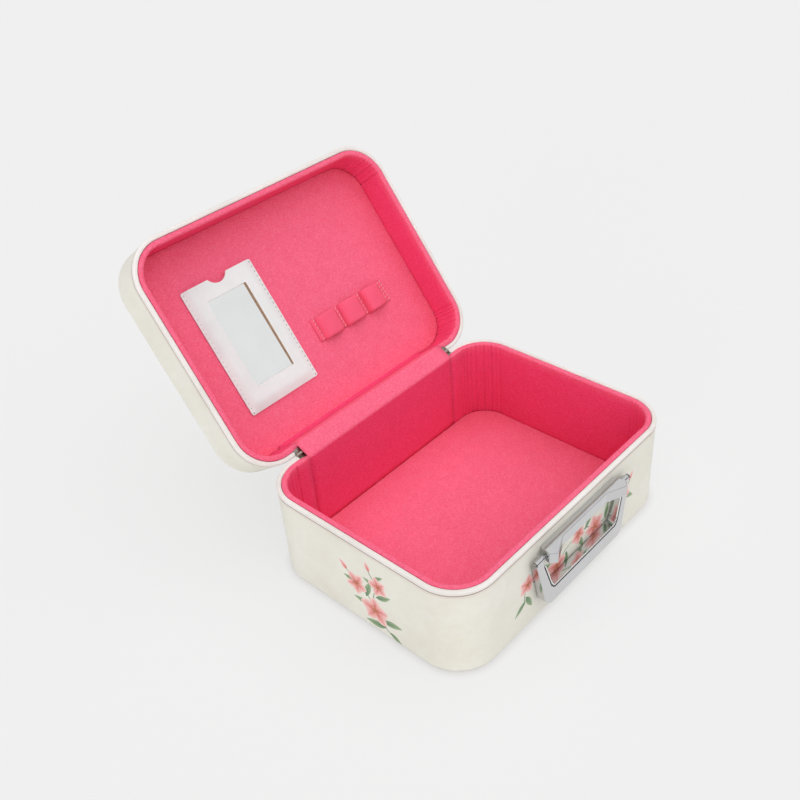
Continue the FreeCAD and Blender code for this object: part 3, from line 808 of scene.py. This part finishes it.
def pocket_height(x, y):
    """Underside of the sheet: sewn down at the hems, raised over the mirror and gaping at the window."""
    side = min(x - LEFT, RIGHT - x, SEWN_END - y)
    t = clamp((side - HEM) / HEM_SLOPE)
    t = t * t * (3 - 2 * t)
    sag = 0.1 + wobble(x, y, 3, size=21, amount=0.1)
    gape = GAPE_LEAST + GAPE_MORE * (SEWN_END - y) / POCKET_L
    gape *= math.exp(-((x - POCKET_X + WINDOW_W / 2) / GAPE_W) ** 2)
    gape *= math.exp(-((y - WINDOW_Y) / GAPE_L) ** 4)
    return SEWN_AT + (MIRROR_FACE - SEWN_AT) * t + (sag + gape) * t


def pocket_sheet():
    """Leatherette pocket sewn on three sides, its window's card edge turned down almost to the mirror."""
    flat, kept = pocket_plan()
    count = len(flat)
    top = [(p.x, p.y, pocket_height(p.x, p.y) + POCKET_SHEET) for p in flat]
    under = []
    for x, y in flat:
        at_window = in_window(x, y, WINDOW_EDGE)
        under.append((x, y, MIRROR_FACE + WINDOW_FOOT if at_window else pocket_height(x, y)))
    faces = kept + [tuple(k + count for k in reversed(triangle)) for triangle in kept]
    sides = dict.fromkeys(side for triangle in kept for side in zip(triangle, triangle[1:] + triangle[:1]))
    rim = [(a, b) for a, b in sides if (b, a) not in sides]
    walls = len(faces)
    faces += [(b, a, a + count, b + count) for a, b in rim]
    obj = piece("pocket_sheet", top + under, faces, LID_PLACE, POCKET, "lid", "white_leatherette")
    obj.data.materials.append(BROWN_CARD)
    for face, (a, b) in zip(obj.data.polygons[walls:], rim):
        face.use_smooth = False
        if in_window(*flat[a].lerp(flat[b], 0.5), WINDOW_EDGE):
            face.material_index = 1
    obj.data.set_sharp_from_angle(angle=math.radians(50))
    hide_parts("mirror_pocket")


def pocket_stitches():
    """Stitches along the three sewn sides of the pocket."""
    low, high = OPEN_SIDE + OPEN_INSET, SEWN_END - POCKET_INSET
    left, right = LEFT + POCKET_INSET, RIGHT - POCKET_INSET
    runs = []
    for start, end in (((left, low), (left, high)),
                       ((left + POCKET_PITCH, high), (right - POCKET_PITCH, high)),
                       ((right, high), (right, low))):
        start, end = Vector(start), Vector(end)
        steps = round((end - start).length / POCKET_PITCH)
        along = (end - start).normalized() * POCKET_STITCH
        for k in range(steps + 1):
            p = start.lerp(end, k / steps)
            z = pocket_height(p.x, p.y) + POCKET_SHEET - STITCH_SUNK
            runs.append(((*(p - along), z), (*(p + along), z)))
    stitch_mesh("pocket_stitches", runs, POCKET_STITCH_R, GREY_THREAD, "white_leatherette")


pocket_sheet()
pocket_stitches()


# Seam and fold under the piping
TRIM_ROOT, TRIM_PROUD, TRIM_SOFT, TRIM_EASE = 0.6, 0.1, 0.07, 0.12
TRIM_END = 1.2
SEAM_UP, SEAM_H = 0.2, SEAM + 0.8
FOLD_LOW, FOLD_HIGH = 1.5, 1.0


def trim_line(name, foot, top, place, body, material):
    """Low rounded line round the outside of the cover, between two heights."""
    profile = [(TRIM_ROOT, foot), (0.0, foot), (-TRIM_SOFT, foot + TRIM_EASE),
               (-TRIM_PROUD, (top + foot) / 2),
               (-TRIM_SOFT, top - TRIM_EASE), (0.0, top), (TRIM_ROOT, top)]
    path = plan_path(straight_step=8.0, corner_steps=24, back_half=LEAF_HALF + TRIM_END)
    rings = [[(x - inset * nx, y - inset * ny, z) for inset, z in profile] for x, y, nx, ny, _ in path]
    piece(name, *skin(rings), place, material, body, "cream_leatherette")


def seam_lines(part, height, place):
    """Darker strip in the seam under the piping as painted shade, and a paler greyish-pink line painted below
    it.
    """
    seam_top = height - PIPING_H + SEAM_UP
    seam_foot = seam_top - SEAM_H
    trim_line(part + "_seam_line", seam_foot, seam_top, place, part, SEAM_SHADE)
    trim_line(part + "_fold_line", seam_foot - FOLD_LOW, seam_foot - FOLD_HIGH, place, part, FOLD_PAINT)


seam_lines("base", BASE_H, BASE_PLACE)
seam_lines("lid", LID_H, LID_PLACE)


# Rolled edge round the inside of the bail's face in a brighter copy of chrome as a painted highlight, and a
# near-black roll beside it as a painted dark reflection
BAIL_TOP, BAIL_BOTTOM, GRIP_TOP = 58.3, 15.5, 28.5
GRIP_HALF, ARM_HALF = 37.25, 46.65
BAIL_FRONT_LOW, BAIL_FRONT_TOP = -98.4, -96.1
BAIL_CORNER, ROLL_END = 3.0, 4.5
ROLL_STEPS, ROLL_SIDES, ROLL_TAPER = 8, 12, 0.4


def bail_line(inset):
    """Line round the inside edge of the bail's face, moved into the metal by inset."""
    lean = (ARM_HALF - GRIP_HALF) / (BAIL_TOP - GRIP_TOP)
    low_z, high_z = GRIP_TOP - inset, BAIL_TOP - ROLL_END
    arm_end = low_z + BAIL_CORNER

    def arm_x(z):
        return GRIP_HALF + lean * (z - GRIP_TOP) + inset

    half = []
    for k in range(ROLL_STEPS + 1):
        z = high_z + (arm_end - high_z) * k / ROLL_STEPS
        half.append((arm_x(z), z))
    for a in quarter(ROLL_STEPS, first=1):
        half.append((arm_x(low_z) - BAIL_CORNER * (1 - math.cos(a)), arm_end - BAIL_CORNER * math.sin(a)))
    return [Vector(p) for p in half] + [Vector((-x, z)) for x, z in reversed(half)]


def bail_roll(name, inset, radius, sunk, material):
    """Fine round roll along the inside edge of the bail's face, tapered at its ends."""
    line = bail_line(inset)
    slope = (BAIL_FRONT_TOP - BAIL_FRONT_LOW) / (BAIL_TOP - BAIL_BOTTOM)
    rings = []
    for k, (x, z) in enumerate(line):
        along = tangent_at(line, k)
        middle_y = BAIL_FRONT_LOW + slope * (z - BAIL_BOTTOM) + sunk
        thick = radius if 0 < k < len(line) - 1 else radius * ROLL_TAPER
        ring = []
        for s in range(ROLL_SIDES):
            turn = 2 * math.pi * s / ROLL_SIDES
            out = thick * math.cos(turn)
            ring.append((x - along.y * out, middle_y - thick * math.sin(turn), z + along.x * out))
        rings.append(ring)
    piece(name, *skin(rings), BASE_PLACE, material, "bail", "chrome")


# Near-black roll as painted dark reflection, and a bright roll on the edge as painted highlight
bail_roll("bail_bead", inset=0.95, radius=0.5, sunk=0.1, material=DARK_REFLECTION_CHROME)
bail_roll("bail_rim", inset=-0.05, radius=0.62, sunk=0.4, material=HIGHLIGHT_CHROME)


# Printed flowers, as thin raised ink
INK_LIFT, FIRST_LIFT, LIFT_STEP, PETAL_STEP = 0.12, 0.03, 0.004, 0.03
STAMEN_LIFT, ANTHER_LIFT = INK_LIFT + 0.17, INK_LIFT + 0.21
PETALS, STAMENS = 5, 7
BLADE_STEPS, STALK_STEPS = 8, 10
BLADE_ACROSS = (-1.0, -0.55, -0.12, 0.12, 0.55, 1.0)
BLADE_TIP, STALK_HALF, STALK_TAPER = 0.12, 0.42, 0.14
# Half widths and an anther's length, as shares of the flower's radius or the blade's length
PETAL_W, STAMEN_W, ANTHER_W, ANTHER_L = 0.36, 0.03, 0.04, 0.1
LEAF_W, BUD_W = 0.15, 0.24
PETAL = (srgb(214, 88, 92), srgb(243, 166, 161), srgb(252, 226, 219))
LEAF = (srgb(92, 128, 96), srgb(128, 158, 116), srgb(172, 192, 150))
STAMEN = (srgb(176, 96, 62), srgb(196, 120, 74), srgb(214, 150, 96))


def shade_of(colours, t):
    """Colour between three, from the first at 0 to the last at 1."""
    t = clamp(t) * 2
    a, b = colours[:2] if t < 1 else colours[1:]
    t = t if t < 1 else t - 1
    return tuple(p + (q - p) * t for p, q in zip(a, b))


def ink_patch(ink, rows, lift, tone):
    """Closed flake of ink: a grid of places on the wall, and the same grid sunk into the cover."""
    first, tall, wide = len(ink["verts"]), len(rows), len(rows[0])
    below = tall * wide
    for level in (lift, -INK_LIFT):
        for r, row in enumerate(rows):
            for c, (u, v) in enumerate(row):
                ink["verts"].append((u, v, level))
                ink["tones"].append(tone(r / (tall - 1), 2 * c / (wide - 1) - 1))
    for r in range(tall - 1):
        for c in range(wide - 1):
            k = first + r * wide + c
            quad = (k, k + 1, k + 1 + wide, k + wide)
            ink["faces"].append(quad)
            ink["faces"].append(tuple(p + below for p in reversed(quad)))
    edge = [(0, c) for c in range(wide)] + [(r, wide - 1) for r in range(1, tall)]
    edge += [(tall - 1, c) for c in range(wide - 2, -1, -1)] + [(r, 0) for r in range(tall - 2, 0, -1)]
    ring = [first + r * wide + c for r, c in edge]
    for a, b in zip(ring, ring[1:] + ring[:1]):
        ink["faces"].append((b, a, a + below, b + below))


def blade(ink, root, angle, length, width, bend, lift, colours, blunt):
    """One petal or leaf from its root, with a paler rim and a darker vein."""
    along = Vector((math.cos(angle), math.sin(angle)))
    side = Vector((-along.y, along.x))
    rows = []
    for k in range(BLADE_STEPS + 1):
        t = k / BLADE_STEPS
        half = max(width * math.sin(math.pi * t ** blunt) ** 0.85 if 0 < t < 1 else 0.0, BLADE_TIP)
        spine = Vector(root) + along * (length * t) + side * (bend * t * t)
        rows.append([tuple(spine + side * (half * s)) for s in BLADE_ACROSS])

    def tone(t, s):
        vein = 0.22 if abs(s) < 0.3 else 0.0
        return shade_of(colours, 0.12 + 0.75 * t + 0.2 * abs(s) - vein)

    ink_patch(ink, rows, lift, tone)


def blossom(ink, centre, radius, turn, dice):
    """Five-petalled flower with stamens."""
    for k in range(PETALS):
        angle = turn + 2 * math.pi * k / PETALS + dice.uniform(-0.1, 0.1)
        length = radius * dice.uniform(0.9, 1.08)
        bend = radius * dice.uniform(-0.12, 0.12)
        lift = INK_LIFT + PETAL_STEP * k
        blade(ink, centre, angle, length, radius * PETAL_W, bend, lift, PETAL, blunt=1.35)
    for k in range(STAMENS):
        angle = turn + 0.4 + 2 * math.pi * k / STAMENS
        reach = radius * dice.uniform(0.2, 0.34)
        blade(ink, centre, angle, reach, radius * STAMEN_W, 0.0, STAMEN_LIFT, STAMEN, blunt=1.0)
        tip = (centre[0] + reach * math.cos(angle), centre[1] + reach * math.sin(angle))
        size = (radius * ANTHER_L, radius * ANTHER_W)
        blade(ink, tip, angle + 0.6, *size, 0.0, ANTHER_LIFT, STAMEN, blunt=1.0)


def stalk(ink, start, end, bend, lift):
    """Thin printed stalk on a slight curve."""
    start, end = Vector(start), Vector(end)
    along = (end - start).normalized()
    side = Vector((-along.y, along.x))
    rows = []
    for k in range(STALK_STEPS + 1):
        t = k / STALK_STEPS
        spine = start.lerp(end, t) + side * (bend * 4 * t * (1 - t))
        half = STALK_HALF - STALK_TAPER * t
        rows.append([tuple(spine - side * half), tuple(spine + side * half)])
    ink_patch(ink, rows, lift, lambda t, s: shade_of(LEAF, 0.1 + 0.4 * t))


def spray(name, stalks, leaves, buds, flowers, to_wall, seed):
    """Group of printed flowers, buds and leaves on one outside wall of the base."""
    dice = random.Random(seed)
    ink = {"verts": [], "faces": [], "tones": []}
    lift = FIRST_LIFT
    for start, end, bend in stalks:
        stalk(ink, start, end, bend, lift)
        lift += LIFT_STEP
    for place, angle, length in leaves:
        bend = length * dice.uniform(-0.18, 0.18)
        blade(ink, place, math.radians(angle), length, length * LEAF_W, bend, lift, LEAF, blunt=0.9)
        lift += LIFT_STEP
    for place, angle, length in buds:
        blade(ink, place, math.radians(angle), length, length * BUD_W, 0.0, lift, PETAL, blunt=0.8)
        lift += LIFT_STEP
    for place, radius, turn in flowers:
        blossom(ink, place, radius, turn, dice)
    verts = [to_wall(*p) for p in ink["verts"]]
    obj = piece(name, verts, ink["faces"], BASE_PLACE, PRINT, "base", "cream_leatherette", smooth=False)
    layer = obj.data.color_attributes.new("ink", "FLOAT_COLOR", "POINT")
    for k, tone in enumerate(ink["tones"]):
        layer.data[k].color = (*tone, 1)


def set_back(v):
    """How far the cover's rounded bottom edge lies behind the wall at a height."""
    low = max(EDGE_ROUND - v, 0.0)
    return EDGE_ROUND - math.sqrt(EDGE_ROUND ** 2 - low ** 2)


def left_wall(u, v, lift):
    return -CASE_W / 2 - lift + set_back(v), -u, v


def front_wall(u, v, lift):
    return u, -CASE_D / 2 - lift + set_back(v), v


# Each stalk has its ends and bend, each leaf and bud its root, angle and length, and each flower its middle,
# radius and turn, in millimetres along and up the wall
spray("left_print",
      stalks=[((29, 5), (15, 21), 2.0), ((15, 21), (1, 37), -2.0), ((15, 21), (20, 46), 2.5),
              ((1, 37), (-9, 45), 1.0), ((20, 46), (12, 56), 1.2)],
      leaves=[((27, 7), -25, 13), ((24, 10), 200, 19), ((21, 14), 15, 18), ((13, 23), 190, 17),
              ((8, 29), 80, 17), ((2, 36), 175, 14), ((17, 34), 20, 15), ((19, 42), 155, 13),
              ((-4, 41), 250, 11), ((17, 50), 45, 10)],
      buds=[((-8, 44), 135, 9), ((13, 55), 110, 8)],
      flowers=[((15, 20), 12.5, 0.3), ((0, 36), 9.5, 1.0), ((20, 45), 8.5, 0.7)],
      to_wall=left_wall, seed=4)
spray("front_print",
      stalks=[((-58, 24), (-55, 40), 1.5), ((-50, 38), (-23, 31), -3.0), ((-23, 31), (2, 41), 2.5),
              ((2, 41), (22, 33), 2.5), ((22, 33), (58, 36), -3.5), ((58, 36), (66, 46), -1.0)],
      leaves=[((-57, 27), 215, 14), ((-57, 30), 300, 15), ((-45, 36), 80, 14), ((-38, 33), 255, 15),
              ((-23, 31), 150, 17), ((-12, 36), 270, 15), ((2, 41), 285, 16), ((10, 39), 55, 14),
              ((22, 33), 320, 17), ((35, 31), 75, 15), ((44, 31), 280, 14), ((58, 36), 330, 16),
              ((58, 36), 60, 13), ((58, 36), 250, 14)],
      buds=[((65, 45), 60, 8)],
      flowers=[((-23, 31), 11.5, 0.2), ((2, 41), 9.0, 0.9), ((22, 33), 11.5, 0.5), ((-55, 40), 8.5, 0.1),
               ((58, 36), 9.5, 0.8)],
      to_wall=front_wall, seed=9)


# Solids that keep their shape
FINISH = {"cream_leatherette": CREAM, "white_leatherette": WHITE, "pink_felt": PINK_FELT,
          "grey_board": GREY_BOARD, "chrome": CHROME, "plated_steel": STEEL, "pink_elastic": TAPE,
          "mirror": MIRROR}
# The pins take the darker copy of chrome as painted dark reflection
OWN_FINISH = {"handle_pivot_pins": PIN_DARK_REFLECTION_CHROME}
for part in frame["record"]["subparts"]:
    finish = OWN_FINISH.get(part["node"], FINISH[part["material_slot"]])
    solid = frame["nodes"][part["node"]]
    solid.data.materials.clear()
    solid.data.materials.append(finish)


# Camera, as fitted to the photograph
CAMERA_AT = (-0.41104, -0.34606, 0.51111)
CAMERA_RIGHT = Vector((0.669398, -0.739678, -0.06915))
CAMERA_DOWN = Vector((-0.476506, -0.356084, -0.803832))
CAMERA_AHEAD = Vector((0.569954, 0.571034, -0.590823))
LENS, SENSOR = 44.2286, 36.0
camera = bpy.data.objects.new("camera", bpy.data.cameras.new("camera"))
bpy.context.scene.collection.objects.link(camera)
camera_turn = Matrix((CAMERA_RIGHT, -CAMERA_DOWN, -CAMERA_AHEAD)).transposed().to_4x4()
camera.matrix_world = Matrix.Translation(CAMERA_AT) @ camera_turn
camera.data.sensor_width = SENSOR
camera.data.sensor_fit = "HORIZONTAL"
camera.data.lens = LENS
camera.data.clip_start = 0.01
bpy.context.scene.camera = camera


# Floor and light
BACKDROP = srgb(239, 239, 239)
CONTACT, CONTACT_REACH = srgb(216, 214, 211), 0.0065
FLOOR_HALF, FLOOR_DROP = 4.0, 0.0002
FLOOR_GLOW = 0.78
ROOM_LIGHT = 0.45


def background_rays(tree):
    """1 for the rays that see the background, straight or in metal and glass, and else 0."""
    kind = add(tree, "LightPath").outputs
    bounced = math_node(tree, "MAXIMUM", kind["Is Glossy Ray"], kind["Is Transmission Ray"])
    return math_node(tree, "MAXIMUM", kind["Is Camera Ray"], bounced)


def show(tree, lit, picture, share, output):
    """Mixes the shader that takes or gives light with the one that shows the background."""
    both = add(tree, "MixShader", {0: share, 1: lit.outputs[0], 2: picture.outputs[0]})
    fill(tree, tree.nodes[output], {"Surface": both.outputs["Shader"]})


def floor_material():
    """Pale floor that keeps the object's shadow, with a narrow shade where the object stands on it."""
    material, tree, bsdf = shader("floor")
    fill(tree, bsdf, {"Base Color": (*BACKDROP, 1), "Roughness": 1.0, "Specular IOR Level": 0.0})
    openness = add(tree, "AmbientOcclusion", {"Distance": CONTACT_REACH}, samples=8).outputs["AO"]
    pale = ramp(tree, openness, [(0.3, CONTACT), (0.92, BACKDROP)])
    glow = add(tree, "Emission", {"Color": pale, "Strength": 1.0})
    share = math_node(tree, "MULTIPLY", background_rays(tree), FLOOR_GLOW)
    show(tree, bsdf, glow, share, "Material Output")
    return material


def make_floor():
    corners = [(x * FLOOR_HALF, y * FLOOR_HALF, 0) for x, y in ((-1, -1), (1, -1), (1, 1), (-1, 1))]
    mesh = bpy.data.meshes.new("floor")
    mesh.from_pydata(corners, [], [(0, 1, 2, 3)])
    mesh.materials.append(floor_material())
    floor = bpy.data.objects.new("floor", mesh)
    floor.location.z = -FLOOR_DROP
    bpy.context.scene.collection.objects.link(floor)


def make_world():
    """Even room light. Reflections see a pale room with a darker band above the floor's far edge."""
    world = bpy.data.worlds.new("studio")
    world.use_nodes = True
    tree = world.node_tree
    light = tree.nodes["Background"]
    fill(tree, light, {"Color": (*PLAIN, 1), "Strength": ROOM_LIGHT})
    direction = add(tree, "TexCoord").outputs["Generated"]
    upward = add(tree, "SeparateXYZ", {"Vector": direction}).outputs["Z"]
    level = math_node(tree, "MULTIPLY", math_node(tree, "ADD", upward, 1.0), 0.5)
    room = ramp(tree, level, [(0.49, BACKDROP), (0.51, (0.10, 0.10, 0.11)), (0.67, (0.16, 0.16, 0.17)),
                              (0.72, BACKDROP)])
    from_camera = add(tree, "LightPath").outputs["Is Camera Ray"]
    colour = mix(tree, from_camera, room, BACKDROP)
    picture = add(tree, "Background", {"Color": colour, "Strength": 1.0})
    show(tree, light, picture, background_rays(tree), "World Output")
    bpy.context.scene.world = world


def sun(name, towards, power, spread):
    """Wide soft lamp in one direction, which metal doesn't mirror."""
    lamp = bpy.data.objects.new(name, bpy.data.lights.new(name, "SUN"))
    lamp.data.energy = power
    lamp.data.angle = math.radians(spread)
    lamp.rotation_euler = Vector(towards).to_track_quat("Z", "Y").to_euler()
    lamp.visible_glossy = False
    bpy.context.scene.collection.objects.link(lamp)


make_floor()
make_world()
sun("key", towards=(0.06, -0.29, 0.955), power=1.82, spread=95)
sun("fill", towards=(-0.96, -0.21, 0.12), power=0.78, spread=30)

bpy.context.scene.view_settings.view_transform = "Standard"
